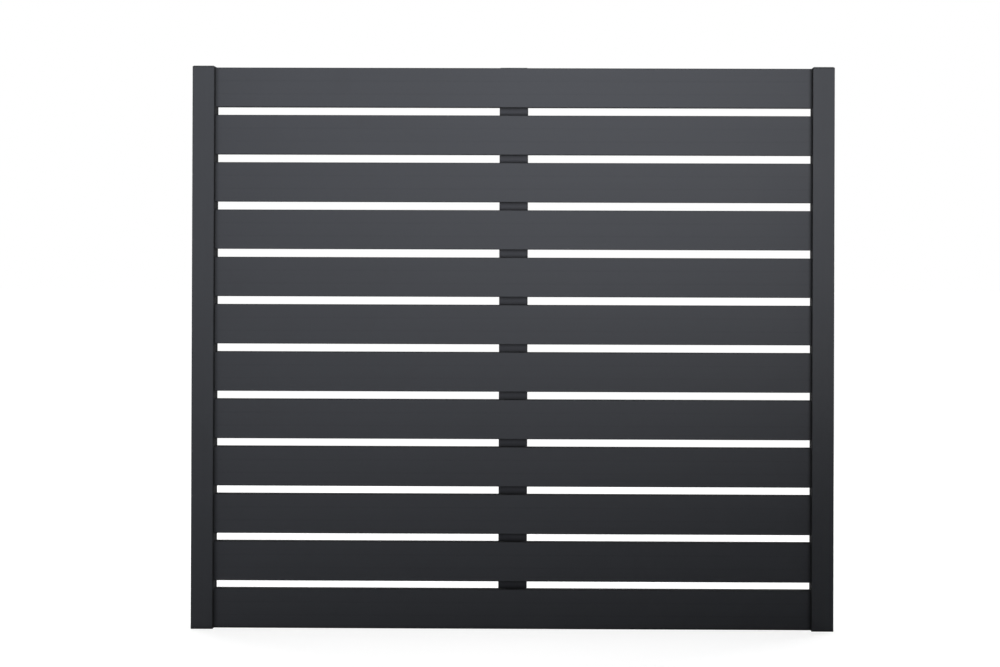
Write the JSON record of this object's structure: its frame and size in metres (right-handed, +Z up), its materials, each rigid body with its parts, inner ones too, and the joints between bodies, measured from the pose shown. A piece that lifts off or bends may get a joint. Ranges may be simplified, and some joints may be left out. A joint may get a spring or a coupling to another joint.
{
  "type": "garden privacy screen",
  "caption": "Free-standing or wall-fixed slatted screen: wide horizontal slats with narrow gaps, held in two capped side posts and braced upright at the back.",
  "frame": {"origin": "middle of the bottom edge: half way between the posts' outer sides and half way through the posts' depth", "axes": "+X along the slats to the right as seen from the front, +Y from the front to the back, +Z up"},
  "size_m": [1.46, 0.0432, 1.281],
  "materials": {
    "slats": "charcoal satin powder coat on aluminium",
    "posts": "charcoal satin powder coat on aluminium",
    "brace": "charcoal satin powder coat on aluminium",
    "caps": "charcoal moulded nylon, fine grain",
    "spacers": "black moulded nylon, matt",
    "screws": "charcoal coated steel"
  },
  "bodies": {
    "root": {"slat_01": "slats", "slat_02": "slats", "slat_03": "slats", "slat_04": "slats", "slat_05": "slats", "slat_06": "slats", "slat_07": "slats", "slat_08": "slats", "slat_09": "slats", "slat_10": "slats", "slat_11": "slats", "slat_12": "slats", "post_left": "posts", "post_cap_left": "caps", "post_screws_left": "screws", "spacer_left_01": "spacers", "spacer_left_02": "spacers", "spacer_left_03": "spacers", "spacer_left_04": "spacers", "spacer_left_05": "spacers", "spacer_left_06": "spacers", "spacer_left_07": "spacers", "spacer_left_08": "spacers", "spacer_left_09": "spacers", "spacer_left_10": "spacers", "spacer_left_11": "spacers", "post_right": "posts", "post_cap_right": "caps", "post_screws_right": "screws", "spacer_right_01": "spacers", "spacer_right_02": "spacers", "spacer_right_03": "spacers", "spacer_right_04": "spacers", "spacer_right_05": "spacers", "spacer_right_06": "spacers", "spacer_right_07": "spacers", "spacer_right_08": "spacers", "spacer_right_09": "spacers", "spacer_right_10": "spacers", "spacer_right_11": "spacers", "centre_brace": "brace", "brace_cap": "caps", "brace_screws": "screws"}
  },
  "joints": []
}
